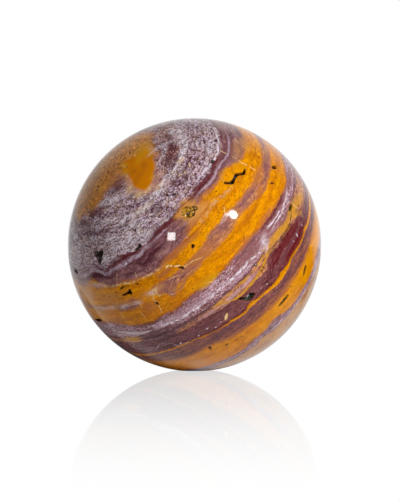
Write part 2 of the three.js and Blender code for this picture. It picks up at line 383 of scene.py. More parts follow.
# Soft patches: a colour, how strong it is, how soft its edge is, and its ovals, each a turn, a level,
# half a length and half a width in millimetres, and a tilt in degrees if it has one. Then how frayed its
# edge is, and how much of it is broken into grains
Patches = namedtuple("Patches", "colour strength softness ovals fray grain", defaults=(1, .35))
PATCHES = {
    "druzy_rim": Patches("ochre", .85, .4, ((10.5, .645, 3.2, 2.5, -10),), 1.5, .2),
    "cap_halo": Patches("blush", .75, .5, (
        (3, .885, 5.6, 1.6, -35), (-7, .955, 1.2, 3.4), (17, .885, 2.6, 1, -20),
    )),
    "cap_patch": Patches("deep_orange", 1, .1, (), .2, 0),
    "cap_shade": Patches("brown", .7, .5, (
        (-38, .975, 3.2, 2.2), (-75, .95, 5, .7, 30), (-100, .955, 4, .7, 40),
    )),
    "patch_smudges": Patches("russet", .4, .8, (
        (9.6, .94, 1.6, 1), (8.3, .961, 1, .8), (25, .95, 1.2, .8, 40), (.6, .929, 1, .7),
        (-12, .507, 3.6, .8), (1, .507, 4, .8), (16, -.02, 2.4, .5), (-14, .45, 3, 1), (30, .3, 4, .5),
        (-46, .25, 3, .7), (47, .947, 1.4, 1), (3, .392, 3, .8), (-4, .389, 2.4, .8),
    ), .8),
    "patch_glow": Patches("amber", .75, .8, (
        (60, .968, 3, 2), (50, .952, 1.6, .9), (35, .972, 1.8, .7, 30), (12, .99, .8, 1.4),
        (-3, .977, .8, 1.2), (15, .9, 1, .6), (-7, .226, 3, .8),
    ), .8, .2),
    "peach_clouds": Patches("cream", .6, .7, (
        (-5.7, .885, 1.4, 1), (-9.7, .923, 1, 1.4), (3.5, .873, 1.4, .6), (-4.5, .967, .5, .8),
        (-11, .82, 2.6, .8), (12, .845, 2, .6), (40, .835, 1.4, .5), (8, .99, .3, 1.1),
    ), 1.2, .7),
    "grey_clouds": Patches("plum", .75, .6, (
        (-26, .963, 3.2, 1.7, 15), (-60, .9, 2.6, 1), (-76, .855, 3, 1),
    )),
    "dark_blobs": Patches("dark_plum", .7, .6, (
        (58, .89, 2.8, 1.5, 10), (38, .882, 2.2, 1.1), (-2, .77, 2.4, .9, 10), (-51, .818, 2.4, .8),
        (74, .9, 3, 1), (21, .8, 2.2, .8), (-2, .79, 2, .6), (26, .764, 2.2, .7), (-27, .95, 2, .8),
        (40, .855, 3, .6), (-14, .9, 1.8, .6), (-30, .81, 2.4, .5), (33, .795, 2, .6), (-68, .82, 3, .8),
        (-13, .68, 2.8, .7), (61, .915, 1.6, .9), (3, .705, 3, .6), (-9, .708, 3, .5),
    )),
    "pale_streaks": Patches("pale", .88, .6, (
        (74, .86, 4.5, 1), (60, .92, 4, .7, -50), (50, .91, 4, .5), (28, .835, 3.4, .6),
        (16, .842, 2.6, .6), (-10, .815, 3, .8), (-42, .855, 3, .8), (-24, .83, 3, .6), (-40, .72, 3, .8),
        (-25, .72, 5, 1.4), (-24, .78, 4, 1.1), (-52, .69, 4, 1.5), (9, .823, 2, .7), (-2, .837, 2.2, .6),
        (-42, .77, 4, 1), (-34, .925, 3, .9), (-46, .93, 2.6, .8), (60, .71, 3, .8), (62, .835, 3, 1),
        (48, .838, 2.4, .7), (-62, .795, 3, .8), (-85, .77, 3, 1), (82, .885, 2.6, .8),
    ), 1, .9),
    "sand_clouds": Patches("sand", .75, .8, (
        (-74, .46, 5.5, 2.2), (-57, .44, 4, 1.6), (-64, .525, 4, 1), (-70, .34, 6, 1.5), (-63, .485, 4, 1),
        (-88, .42, 6, 3), (62, .56, 4, 1.4), (70, .5, 3, 1.4), (14, .585, 3.6, .8), (-52, .37, 4, .7),
    ), 1, .5),
    "rosy_patches": Patches("rosy_plum", .7, .6, (
        (34, .387, 3, 1, 12), (44, .35, 1.8, .7, 10), (58, .335, 2.2, .9), (17, .4, 3, 1, 8),
        (8, .38, 2, .6), (-10, .37, 2.6, .7), (-26, .365, 2.4, 1.1, 10), (-17, .3, 1.5, .5, 20),
        (5, -.121, 2.4, .7),
    )),
    "orange_gaps": Patches("deep_orange", .7, .8, (
        (50, .37, 3, 1.2), (43, .325, 2, .7), (-30, .375, 2.6, .7), (25, .395, 1.4, .6), (-3, .38, 3, .8),
        (53, .15, 3, .8, -10), (16.6, .207, 3, .6),
    )),
    "brown_clouds": Patches("rose", .75, .8, (
        (-37, .29, 2.4, 1.2), (-20, .45, 2, .7), (-60, .25, 4, .8), (-3, .385, 4, 1.2), (6, .385, 3.4, 1),
        (50, .378, 3, .9), (-4, .512, 4, .7), (-14, .505, 3, .7), (7, .572, 2.6, .6),
    )),
    "band_shade": Patches("rosy_plum", .9, .7, (
        (14, .135, 6, 2.4), (31, .125, 6, 1.9), (46, .12, 5, .9), (62, .1, 5, .9), (-14, .185, 4, .5),
    )),
    "blush_clouds": Patches("orchid", .75, .7, (
        (-3, -.01, 4, .5), (6, -.01, 3, .5), (-16, 0, 3, .4), (-16, .125, 5, .8), (-30, .12, 4, .7),
        (5, .066, 4, .6), (-63, .527, 3, .7),
    ), 1, .5),
    "dark_clouds": Patches("dark_plum", .7, .6, (
        (-24, .566, 2.6, .6), (-46, .04, 6, .6), (-36, -.02, 5, .5), (-62, .59, 3.4, .6), (-40, .16, 5, .5),
    )),
    "amber_stripes": Patches("amber", .9, .6, (
        (32, .03, 6, .8, -8), (24, .04, 2.4, .5, -20), (45, -.03, 3.2, .7, -30), (56, -.04, 3, 1.2, -20),
        (-9.9, .015, 1.8, .4), (-3.4, .02, 1.6, .4), (4, .018, 1.8, .45, -10), (17, .028, 1.8, .35),
        (-58, .05, 3, .7), (48, 0, 3.4, 1.3, -10), (38, 0, 3, .8), (-6, .205, 3, .6),
    ), 1.3),
    "red_stripes": Patches("deep_red", .85, .5, (
        (30, -.075, 6.4, .8), (34, -.167, 7, 1.2), (40, -.085, 3, .8), (22, -.08, 3, .6),
        (30, -.145, 3, .8),
    )),
    "mauve_stripes": Patches("plum", .75, .7, (
        (32, -.118, 8, .4), (-22, -.085, 8, 1), (52, -.13, 3, .6), (40, .618, 4, .5), (60, .61, 4, 1.7),
    )),
    "tan_clouds": Patches("tan", .7, .9, (
        (-46, -.41, 4, 1.6), (-55, -.33, 3, 1.4, 20), (-30, .375, 3, .8),
    )),
    # Pale clouds; the oval at turn 20 and level .44 is painted highlight, the glow round the key lamp's
    # reflection
    "pale_clouds": Patches("pale", .65, .7, (
        (24, .1, 1.6, 1, 30), (23, .065, 1.4, .6, 40), (49, .085, .8, .6), (-58, .357, 2.4, .5),
        (-49, .352, 1.8, .5), (-56, .12, 2.6, .5), (-41, .345, 1.4, .5), (-66, .355, 2, .4),
        (20, .44, 1.6, .5), (-31, .375, 1.8, .5),
    ), 1.5, .75),
}

# The outline of the orange patch near the top, in millimetres round a turn and level
CAP_PATCH_PLACE = (22, .945)
CAP_PATCH = (
    (5.4, 4.1), (4.5, .6), (.8, -2.7), (-2.2, -4.5), (-5.2, -4.9), (-6, -1.7), (-4.2, 1.3), (-3.4, 4),
    (-1.8, 6.5), (.9, 7.2), (2.1, 5.1), (3.8, 4.2),
)
CAP_PATCH_DEPTH = 4.5

# Small clear grains: a colour, how strong it is, and its ovals, as above
Grains = namedtuple("Grains", "colour strength ovals")
GRAINS = {
    "cream_crystals": Grains("cream", 1, (
        (-12, -.124, .75, .3, 50), (-11, -.112, .7, .28, 50), (-17.4, .467, .5, .28, 10),
        (-15.6, .457, .4, .2, -10), (-13.2, .436, .7, .16, -20), (-12, .426, .3, .2), (40.6, .826, .5, .15),
        (38.4, .786, .6, .12, 30), (31.6, .787, .5, .12), (27.7, .804, .5, .12, 20), (28, .834, .6, .12),
    )),
    "pale_flecks": Grains("pale", .8, (
        (-36.5, -.115, .3, .2), (-21.5, -.111, .3, .16, 20), (-26.8, -.123, .2, .2), (-18.5, -.14, .2, .15),
        (-15, -.13, .25, .15, 40), (11.6, -.154, .18, .14), (8.2, -.138, .16, .12), (35, -.135, .3, .1, 80),
        (39, -.137, .5, .14, 75), (45.3, -.14, .3, .1, 80), (0, .538, .16, .16), (-37, .615, .4, .2),
    )),
    "dark_specks": Grains("black", .85, (
        (20.2, -.375, .3, .14, 60), (-16.4, -.381, .3, .2), (-13.6, -.376, .26, .16), (29.3, .579, .22, .2),
        (63, .39, .3, .16), (18.5, .24, .2, .12), (-26.5, .235, .3, .13, 30), (-14, .24, .25, .12),
        (13.5, -.04, .35, .18, 20), (15, -.03, .22, .22), (13.6, .034, .44, .44),
        (-21.3, -.358, .5, .26, 20), (-35.7, .472, .28, .22), (-56, .44, .35, .2, 20),
        (-45.3, .48, .9, .22, 15), (-41.5, .48, .35, .2), (-64, .5, .3, .15, -50),
        (63.5, .394, .3, .14, 40), (-60, .45, .25, .15), (-50, .46, .25, .15), (67.5, .991, .3, .3),
        (8.7, .985, .28, .2), (-76, .971, .5, .2, 40), (-76, .963, .4, .2, 60), (-62.7, .983, .3, .2),
        (-79, .928, .3, .2),
    )),
}

# Veins that cross the layers: a colour, how strong it is, and lines, each half a width in millimetres
# and then its places, each a turn and a level
Veins = namedtuple("Veins", "colour strength lines")
VEINS = {
    "cream_veins": Veins("cream", .8, (
        (.14, (56.5, .654), (55.6, .61)), (.14, (55, .58), (54.6, .556)), (.17, (53.9, .53), (52.9, .47)),
        (.12, (52.9, .445), (52.8, .404)), (.1, (52.3, .375), (51.9, .345)), (.09, (51.5, .32), (51, .28)),
        (.11, (49.5, .017), (50.2, -.05)), (.1, (50.4, -.074), (49.9, -.13)),
        (.09, (72.4, .575), (68.3, .536), (66.3, .495)), (.1, (-12, .4), (-9, .4)),
        (.11, (-30.3, .39), (-28.5, .383), (-29.1, .351), (-31.1, .354), (-30.3, .39)),
        (.13, (-31.1, .354), (-32.1, .33), (-31.8, .29), (-32.3, .241), (-32.8, .211)),
        (.09, (-29.1, .351), (-29, .325)), (.09, (-28.5, .383), (-25.6, .401), (-20.8, .395), (-15, .375)),
        (.08, (-28.8, .33), (-24.5, .3), (-20.6, .278)), (.09, (-20.6, .278), (-18.5, .285)),
        (.12, (-42.1, .267), (-41.9, .212)), (.08, (-40.1, .344), (-40.4, .296)),
        (.1, (-53, .307), (-54.4, .246)), (.08, (-48, .2), (-47.6, .176)), (.08, (-8.7, .217), (-5.4, .19)),
        (.08, (24, .486), (21, .45)), (.08, (-45, .58), (-46.3, .54)), (.08, (-34, .55), (-34.6, .51)),
        (.08, (-50, .59), (-52, .56)), (.08, (-11.5, .4), (-4, .385), (-1, .37)),
    )),
    "lilac_veins": Veins("lilac", .7, (
        (.12, (-64, -.02), (-62.3, -.041), (-58.4, -.11), (-49.6, -.088), (-45.9, -.05),
         (-41.5, -.063), (-39.2, -.12), (-32.9, -.14)),
        (.09, (-61, 0), (-61.5, -.06)), (.09, (-44, -.085), (-42, -.055)),
    )),
    "cracks": Veins("black", .85, (
        (.07, (67.6, .423), (63.1, .392)), (.07, (-64.2, .516), (-63.8, .5), (-61.5, .48)),
        (.07, (-61.5, .48), (-63.9, .464)), (.06, (-56.5, .435), (-54.3, .437)),
        (.07, (-47, .478), (-43.4, .482), (-37.1, .476), (-34.9, .475)),
        (.05, (-63.2, .79), (-59.9, .76), (-58.6, .738)), (.05, (-55.1, .653), (-50.3, .616)),
        (.08, (-32.6, .304), (-32.2, .273)), (.06, (-26.3, .24), (-24.4, .231)),
        (.06, (-20.5, -.375), (-16, -.372)), (.07, (19.5, -.357), (21.5, -.363)), (.05, (54, .2), (50, .2)),
        (.06, (93, .964), (81, .941), (72, .918)), (.05, (-2, .6), (-6, .575)),
        (.05, (26, .245), (29, .25)),
    )),
}
# Pale crystal faces in the hollows, drawn over their linings: partly their own pale colour and partly painted
# highlight where they catch light
CRYSTAL_GLINTS = Veins("pale", .8, (
    (.2, (.9, -.127), (1.9, -.125), (2.6, -.113)), (.2, (13.6, .034), (13.7, .035)),
))

# Orbs, whose rings show where they are cut: each a turn, a level and a radius in millimetres
ORBS = (
    (40.6, .577, 2.1), (48.6, .511, 2.1), (128, .5, 2.6), (136, .43, 2), (121, .44, 1.7), (143, .52, 1.5),
    (-150, .33, 2.8), (-143, .27, 1.9), (-158, .28, 2.1), (-149, .22, 1.4), (172, -.36, 2.9),
    (163, -.42, 2), (-178, -.43, 1.8), (170, -.46, 1.4), (96, -.4, 2.2), (103, -.36, 1.6),
    (-112, -.44, 2.4), (-104, -.38, 1.7), (-20, -.72, 2.4), (-2, -.7, 1.8), (60, -.7, 2.6), (84, -.74, 1.9),
    (150, -.68, 2.2), (-130, -.7, 2.6), (-80, -.66, 2),
)

# The open hollows' outlines, in millimetres along the layers and up across them
HEART = (
    (-1.6, .7), (-.7, 1.15), (.4, .65), (1.9, 1.5), (2, .5), (1.2, -1), (.5, -2.4), (-.1, -2), (-.7, -.8),
    (-1.4, -.1),
)
WINDING_CRACK = (
    (-3.1, 2), (-2.4, .6), (-1, .15), (.6, .35), (1.5, -.8), (2, -1.4), (3.7, -1.4), (2.8, -1.8),
    (1.8, -1.95), (.5, -.4), (-.8, -.2), (-2.6, -.3), (-3.45, 1.65),
)
STEPPED_POCKET = (
    (-2, 1.1), (-1.3, 1.1), (-.2, -.3), (.95, .25), (2.15, -1), (1.6, -1.4), (.6, -1.75), (-.3, -1.6),
    (-.9, -.5),
)
SLIT_WITH_HEAD = (
    (-1.9, .05), (.4, .2), (1, .75), (1.35, .75), (1.4, -.4), (1.2, -.65), (.3, -.15), (-1.7, -.2),
)
LEDGE_POCKET = ((-1.5, -.35), (.2, .1), (.8, .6), (.95, -.2), (.5, -.45), (-.6, -.55))
CURVED_SLIT = ((-.5, .5), (-.1, .3), (.4, -.2), (.45, -.5), (.2, -.55), (-.55, .35))
SMALL_TRIANGLE = ((-.65, -.35), (0, .4), (.3, .1), (.35, -.35))
CREVICE = ((-.25, .5), (.1, .3), (.4, .1), (.35, -.45), (.1, -.5), (-.2, .1))
LOW_TRIANGLE = ((-.6, -.1), (0, .45), (.9, -.1), (.3, -.3))
BENT_SLIT = ((0, .3), (.3, .3), (.35, 0), (.7, -.3), (.5, -.5), (.2, -.2))
THORN = ((-.95, 0), (-.7, .9), (-.5, .5), (-.6, .05))
DRUZY_PATCH = (
    (-2, .1), (-1.6, 1), (-.6, 1.6), (.4, 1.1), (1.2, .2), (2.1, -.6), (2, -1.3), (1, -1.2), (.2, -1.9),
    (-.8, -1.5), (-1.9, -.7),
)
OVAL_POINTS = 12


def oval(half_length, half_width, tilt, centre=(0, 0)):
    """A long hollow's outline: an oval turned by a tilt in degrees."""
    cosine, sine = math.cos(math.radians(tilt)), math.sin(math.radians(tilt))
    angles = [math.tau * step / OVAL_POINTS for step in range(OVAL_POINTS)]
    points = [(half_length * math.cos(angle), half_width * math.sin(angle)) for angle in angles]
    return tuple(
        (centre[0] + along * cosine - up * sine, centre[1] + along * sine + up * cosine)
        for along, up in points)


def opposite(outline, scale):
    """An outline turned by half a turn and scaled."""
    return tuple((-along * scale, -up * scale) for along, up in outline)


def linear(share):
    """One part of a screen colour, 0 to 1, as linear light."""
    return ((share + 0.055) / 1.055) ** 2.4 if share > 0.04 else share / 12.92


def rgb(red, green, blue):
    """A colour as seen on a screen, 0 to 255, as the linear colour that shaders use."""
    return tuple(linear(part / 255) for part in (red, green, blue))


# Colours of the linings: the hollows' own dark minerals, made darker still as painted shade inside the
# hollows
BLACK = rgb(14, 8, 3)
OLIVE = rgb(46, 38, 18)
GREEN = rgb(34, 46, 28)
BROWN = rgb(96, 60, 30)
OCHRE = rgb(140, 98, 14)

# The open hollows: each a turn, a height along the bedding axis and a depth in millimetres, the colour of
# its lining, which is its own dark minerals and also painted shade inside the hollow, and its outline
Hollow = namedtuple("Hollow", "turn height depth lining outline")
HOLLOWS = (
    Hollow(-57, 23.1, 2.2, OLIVE, HEART),
    Hollow(43, 16.9, 1.3, BLACK, WINDING_CRACK),
    Hollow(1, -3.25, 1, GREEN, STEPPED_POCKET),
    Hollow(-44, 14.1, 1.2, BLACK, SLIT_WITH_HEAD),
    Hollow(-26, 21.8, .9, OLIVE, LEDGE_POCKET),
    Hollow(62, 8.35, 1.1, BLACK, oval(.95, .45, -30)),
    Hollow(47, .9, .9, GREEN, oval(1.2, .38, -4)),
    Hollow(-76, 7.1, 1.1, BLACK, oval(2.3, .42, 14)),
    Hollow(13, -13.4, .7, OLIVE, oval(1.9, .5, 0)),
    Hollow(32, -13.4, .7, OLIVE, oval(1.35, .5, 34)),
    Hollow(134, 17.6, 1.3, BLACK, opposite(WINDING_CRACK, .8)),
    Hollow(-146, 21.4, 1.8, OLIVE, opposite(HEART, .85)),
    Hollow(176, 8.8, 1.1, BLACK, oval(2.1, .45, -12)),
    Hollow(-118, -3.6, 1.4, GREEN, opposite(STEPPED_POCKET, .9)),
    Hollow(104, 1.6, 1, BLACK, opposite(SLIT_WITH_HEAD, .9)),
    Hollow(-160, -12.9, 1.2, BROWN, oval(1.7, .6, 20)),
    Hollow(148, -14.2, .9, BROWN, oval(1.3, .5, -24)),
    Hollow(-12, 13.3, .6, BLACK, CURVED_SLIT),
    Hollow(-1, 15.3, .5, BLACK, SMALL_TRIANGLE),
    Hollow(51, 8.2, .4, BLACK, oval(.5, .18, -50)),
    Hollow(-32.3, 9.3, .5, BLACK, CREVICE),
    Hollow(46.5, 22.2, .5, GREEN, oval(.6, .32, 0)),
    Hollow(66, 22.4, .5, OLIVE, LOW_TRIANGLE),
    Hollow(-28.5, -9.75, .4, BROWN, oval(.7, .3, 60)),
    Hollow(-24, 24.7, .5, GREEN, BENT_SLIT),
    Hollow(12, 25.35, .5, BLACK, THORN),
    Hollow(12, 25.35, .5, BLACK, oval(.55, .2, -50, (.4, -.65))),
    Hollow(-84.8, 18.85, .5, GREEN, oval(1.2, .4, 0)),
    Hollow(10.5, 20.95, .45, OCHRE, DRUZY_PATCH),
)


class Value:
    """A shader socket that Python's arithmetic works on: each sign adds the Math node it stands for."""

    def __init__(self, recipe, socket):
        self.recipe = recipe
        self.socket = socket

    def math(self, operation, *others):
        return self.recipe.math(operation, self, *others)

    def __add__(self, other):
        return self.math("ADD", other)

    __radd__ = __add__

    def __sub__(self, other):
        return self.math("SUBTRACT", other)

    def __rsub__(self, other):
        return self.recipe.math("SUBTRACT", other, self)

    def __mul__(self, other):
        return self.math("MULTIPLY", other)

    __rmul__ = __mul__

    def __truediv__(self, other):
        return self.math("DIVIDE", other)

    def __rtruediv__(self, other):
        return self.recipe.math("DIVIDE", other, self)

    def __abs__(self):
        return self.math("ABSOLUTE")


class Recipe:
    """The node tree of one material or world, cleared and ready for its nodes."""

    def __init__(self, tree):
        self.tree = tree
        tree.nodes.clear()

    def node(self, kind, settings=None, inputs=None, output=0):
        """Adds a node: its settings first, then the values or links of its sockets. Gives one output."""
        made = self.tree.nodes.new(kind)
        for name, value in (settings or {}).items():
            if name == "curve":
                self.draw_curve(made.mapping, value)
            else:
                setattr(made, name, value)
        for key, value in (inputs or {}).items():
            socket = made.inputs[key] if isinstance(key, int) else self.open_socket(made, key)
            if isinstance(value, Value):
                self.tree.links.new(value.socket, socket)
            else:
                socket.default_value = value
        return Value(self, made.outputs[output]) if made.outputs else made

    @staticmethod
    def open_socket(made, name):
        """The input of that name which the node's settings leave in use."""
        return next(socket for socket in made.inputs if socket.name == name and socket.enabled)

    @staticmethod
    def draw_curve(mapping, points):
        """Draws a smooth curve through points, each 0 to 1 across and up."""
        curve = mapping.curves[0]
        while len(curve.points) < len(points):
            curve.points.new(0.5, 0.5)
        for point, (across, up) in zip(curve.points, points):
            point.location = (across, up)
            point.handle_type = "AUTO_CLAMPED"
        mapping.update()

    def math(self, operation, *values):
        return self.node("ShaderNodeMath", {"operation": operation}, dict(enumerate(values)))

    def vector(self, operation, *values, output=0):
        return self.node("ShaderNodeVectorMath", {"operation": operation}, dict(enumerate(values)), output)

    def scale(self, colour, factor):
        """A colour made darker or brighter."""
        return self.node("ShaderNodeVectorMath", {"operation": "SCALE"}, {0: colour, "Scale": factor})

    def dot(self, first, second):
        return self.vector("DOT_PRODUCT", first, tuple(second), output="Value")

    def step(self, value, low, high):
        """0 below one value, 1 above the other and a smooth slope between, which needs no clamping."""
        settings = {"interpolation_type": "SMOOTHSTEP", "clamp": False}
        return self.node("ShaderNodeMapRange", settings, {0: value, 1: low, 2: high, 3: 0.0, 4: 1.0})

    def rise(self, value, name):
        """How far a thing has come in on its own slope."""
        return self.step(value, *SLOPES[name])

    def line(self, value, middle, inner, outer):
        """1 up to an inner distance from a middle value, 0 past an outer one and a smooth slope between."""
        return 1 - self.step(abs(value - middle), inner, outer)

    def mix(self, first, second, share):
        """One colour over another."""
        inputs = {"Factor": share, "A": first, "B": second}
        return self.node("ShaderNodeMix", {"data_type": "VECTOR"}, inputs, 1)

    def light_path(self, output):
        """1 for the rays that one output of the Light Path node names."""
        return self.node("ShaderNodeLightPath", output=output)


class Stone(Recipe):
    """The jasper's node tree, with the places that its patterns are drawn on."""

    def __init__(self, tree, palette):
        super().__init__(tree)
        self.palette = palette
        self.grains = {}
        place = self.node("ShaderNodeTexCoord", output="Object")
        outward = self.vector("NORMALIZE", self.vector("SUBTRACT", place, tuple(BALL_CENTRE)))
        front, side, height = (self.dot(outward, axis) for axis in (FRONT_ACROSS, SIDE_ACROSS, BEDDING))
        bedded = self.node("ShaderNodeCombineXYZ", {}, {0: front, 1: side, 2: height})
        self.bedded = self.vector("MULTIPLY", bedded, (RADIUS_MM,) * 3)
        self.turn = side.math("ARCTAN2", front) / math.tau + 0.5 + self.offset("broad") * TURN_SWAY
        self.swirl = self.offset("middling") * SHEET_SWAY
        self.level = height + self.offsets(LEVEL_SWAYS)

    def noise(self, name, **fourth):
        """One of the stone's noises, with a fourth coordinate if W gives one."""
        around, along, scale, detail, roughness = NOISES[name]
        place = self.vector("MULTIPLY", self.bedded, (around, around, along))
        inputs = {"Vector": place, "Scale": scale, "Detail": detail, "Roughness": roughness} | fourth
        return self.node("ShaderNodeTexNoise", {"noise_dimensions": "4D" if fourth else "3D"}, inputs)

    def grain(self, name):
        """A noise that is made when it is first asked for and used again after that."""
        if name not in self.grains:
            self.grains[name] = self.noise(name)
        return self.grains[name]

    def offset(self, name):
        """How far a noise is from its middle."""
        return self.grain(name) - 0.5

    def offsets(self, shares):
        """Shares of some noises' offsets, added up."""
        return sum(self.offset(name) * share for name, share in shares.items())

    def edge(self, places):
        """The level of a drawn edge at each turn."""
        drawn = [(0.5 + turn / 360, 0.5 + level / 2) for turn, level in places.items()]
        return (self.node("ShaderNodeFloatCurve", {"curve": drawn}, {"Value": self.turn}) - 0.5) * 2

    def sheets(self, depth):
        """Laminae that follow an edge, from the depth below it."""
        return self.noise("sheets", W=depth * SHEETS_TO_A_MM + self.swirl)

    def stuff(self, layer, laminae):
        """A layer's own colour."""
        blend = MIXES[layer.grain]
        grains = {name: self.grain(name) for name in blend.shares} | {"laminae": laminae}
        grain = sum(grains[name] * share for name, share in blend.shares.items())
        share = self.step(grain, layer.low, layer.high)
        mixed = self.mix(self.palette[layer.dark], self.palette[layer.light], share)
        lined = self.paint(mixed, layer.line, self.line(laminae, *LINES["pale"]) * layer.line_strength)
        shade = self.offsets({"fine": blend.fine * layer.contrast, "streaks": blend.streaks * layer.contrast})
        dark_line = self.line(laminae, *LINES["dark"]) * (layer.contrast * STRENGTHS["dark_line"])
        return self.scale(lined, 1 + shade - dark_line)

    def paint(self, under, colour, mask):
        """A colour from the palette over what is there."""
        return self.mix(under, self.palette[colour], mask)

    def field(self, name, output="Fac"):
        """A field that is kept on the mesh's points."""
        return self.node("ShaderNodeAttribute", {"attribute_name": name}, output=output)

    def mark(self, under, name, marks):
        """Small marks with clear edges, over what is there."""
        frayed = self.field(name) + self.offset("fraying") * MARK_FRAY
        return self.paint(under, marks.colour, (1 - self.rise(frayed, "mark")) * marks.strength)


# A thread fades over this share of its length at each end, and sideways from one share of its half width
# to the other. A lining is darkened to this share, as its dark crystal grains and as painted shade inside the
# hollow, and its crystal grains are as much brighter as the gain, as painted glints where they catch light
THREAD_FADE = 0.2
THREAD_EDGE = (0.3, 1.4)
DARK_CRYSTALS_AND_SHADE = 0.2
CRYSTAL_GLINT_GAIN = 1.7


def banded_colour(stone):
    """The layers, each painted over all that lies below its top edge."""
    colour = stone.stuff(LAYERS["cap"], stone.grain("laminae"))
    for name, places in EDGES.items():
        layer = LAYERS[name]
        depth = (stone.edge(places) - stone.level) * RADIUS_MM
        laminae = stone.sheets(depth)
        frayed = depth + (laminae - 0.5) * layer.softness * 2
        below = stone.step(frayed, -layer.softness / 2, layer.softness / 2)
        colour = stone.mix(colour, stone.stuff(layer, laminae), below)
        if name in RIMS:
            rim, width, strength = RIMS[name]
            colour = stone.paint(colour, rim, stone.line(frayed, 0, width * 0.1, width) * strength)
    return colour


def speckled_colour(stone, colour):
    """Lace of pale and dark grains, with creamy streaks, in the speckled zone under the cap."""
    zone = stone.rise(stone.edge(EDGES["cap_rim"]) - stone.level, "speckled_top")
    zone = zone * stone.rise(stone.level - stone.edge(EDGES["maroon_seam"]), "speckled_foot")
    lace = sum(stone.grain(name) * share for name, share in LACE.items())
    dark = 1 - stone.rise(lace, "dark_lace")
    colour = stone.paint(colour, "dark_plum", zone * dark * STRENGTHS["dark_lace"])
    colour = stone.paint(colour, "frost", zone * stone.rise(lace, "pale_lace") * STRENGTHS["pale_lace"])
    streaks = stone.line(stone.grain("creamy"), *LINES["creamy"])
    streaks = streaks * stone.rise(stone.grain("fraying"), "creamy_length")
    streaks = streaks * stone.rise(stone.grain("drifts"), "creamy_drift")
    return stone.paint(colour, "cream", zone * streaks * STRENGTHS["creamy"])


def orb_colour(stone, colour):
    """Orbs: a dark heart, rings that grow paler and a thin dark skin."""
    reach = stone.field("orb") + stone.offset("fraying") * ORB_FRAY
    inside = 1 - stone.rise(reach, "orb_edge")
    rings = stone.paint(stone.palette["russet"], "orange", stone.rise(reach, "orb_heart"))
    rings = stone.paint(rings, "amber", stone.rise(reach, "orb_ring") * STRENGTHS["orb_ring"])
    rings = stone.paint(rings, "deep_orange", stone.line(reach, *LINES["orb_skin"]))
    return stone.mix(colour, rings, inside * STRENGTHS["orb"])


def patched_colour(stone, colour):
    """Soft patches, frayed along the layers and partly broken into grains."""
    wear = stone.offsets(PATCH_FRAYS)
    grains = stone.rise(stone.grain("fine") + stone.grain("streaks"), "patch_grains")
    for name, patches in PATCHES.items():
        frayed = stone.field(name) + wear * patches.fray
        inside = 1 - stone.step(frayed, 1 - patches.softness, 1 + patches.softness)
        mask = inside * (grains * patches.grain + (1 - patches.grain)) * patches.strength
        colour = stone.paint(colour, patches.colour, mask)
    return colour


def threaded_colour(stone, colour):
    """Thin lines along the layers, which break into beads and fade out at their two ends."""
    beading = stone.rise(stone.grain("beading"), "beads")
    for name, half_width, strength, beaded, places in THREADS:
        first, last = (0.5 + turn / 360 for turn in (min(places), max(places)))
        fade = (last - first) * THREAD_FADE
        off = (stone.level - stone.edge(places)) * RADIUS_MM
        line = stone.line(off, 0, *(half_width * share for share in THREAD_EDGE))
        ends = stone.step(stone.turn, first, first + fade) * (1 - stone.step(stone.turn, last - fade, last))
        beads = beading * beaded + (1 - beaded)
        colour = stone.paint(colour, name, line * ends * beads * strength)
    return colour


def hollow_colour(stone, colour, lined):
    """The hollows' linings, rough with small crystal grains that carry painted glints and darkened as painted
    shade inside the hollows, and the brown rims round them.
    """
    rim = stone.rise(lined, "rim_start") * (1 - stone.rise(lined, "rim_end"))
    crystals = stone.rise(stone.grain("fraying") + stone.grain("beading"), "lining_glints")
    # Painted shade and glints: the lining is darkened inside the hollow and made brighter where its crystal
    # grains catch light
    shaded_druse = stone.scale(stone.field("lining", "Vector"), DARK_CRYSTALS_AND_SHADE + crystals * CRYSTAL_GLINT_GAIN)
    return stone.mix(stone.paint(colour, "russet", rim * STRENGTHS["rim"]), shaded_druse, lined)


def jasper_material(settings):
    material = bpy.data.materials.new("ocean_jasper")
    material.use_nodes = True
    stone = Stone(material.node_tree, {name: tuple(getattr(settings, name)) for name in PALETTE})
    colour = banded_colour(stone)
    for painted in (speckled_colour, orb_colour, patched_colour, threaded_colour):
        colour = painted(stone, colour)
    for name, marks in (VEINS | GRAINS).items():
        colour = stone.mark(colour, name, marks)
    lined = stone.field("lining", "Alpha")
    colour = hollow_colour(stone, colour, lined)
    # Painted highlight: pale crystal faces over the linings, partly their own pale colour
    colour = stone.mark(colour, "crystals", CRYSTAL_GLINTS)
    ripples = {"Strength": 1.0, "Distance": settings.relief * MM, "Height": stone.grain("ripple")}
    surface = stone.node("ShaderNodeBsdfPrincipled", {}, {
        "Base Color": colour,
        "Roughness": settings.polish + lined * STRENGTHS["dull_lining"],
        "IOR": settings.refraction,
        "Normal": stone.node("ShaderNodeBump", {}, ripples),
    })
    stone.node("ShaderNodeOutputMaterial", {}, {"Surface": surface})
    return material


def clear_depth(points, outline):
    """How far inside an outline each point is, in millimetres; below 0 outside it."""
    start = np.array(outline)
    edge = np.roll(start, -1, axis=0) - start
    offset = points[:, None] - start
    share = np.clip((offset * edge).sum(2) / (edge ** 2).sum(1), 0, 1)
    gap = np.linalg.norm(offset - share[..., None] * edge, axis=2).min(1)
    end = start + edge
    spans = (start[:, 1] > points[:, None, 1]) != (end[:, 1] > points[:, None, 1])
    rise = np.where(edge[:, 1] == 0, 1, edge[:, 1])
    crossing = start[:, 0] + edge[:, 0] * (points[:, None, 1] - start[:, 1]) / rise
    inside = (spans & (points[:, None, 0] < crossing)).sum(1) % 2 == 1
    return np.where(inside, gap, -gap)


CORNER_CUT = 0.2


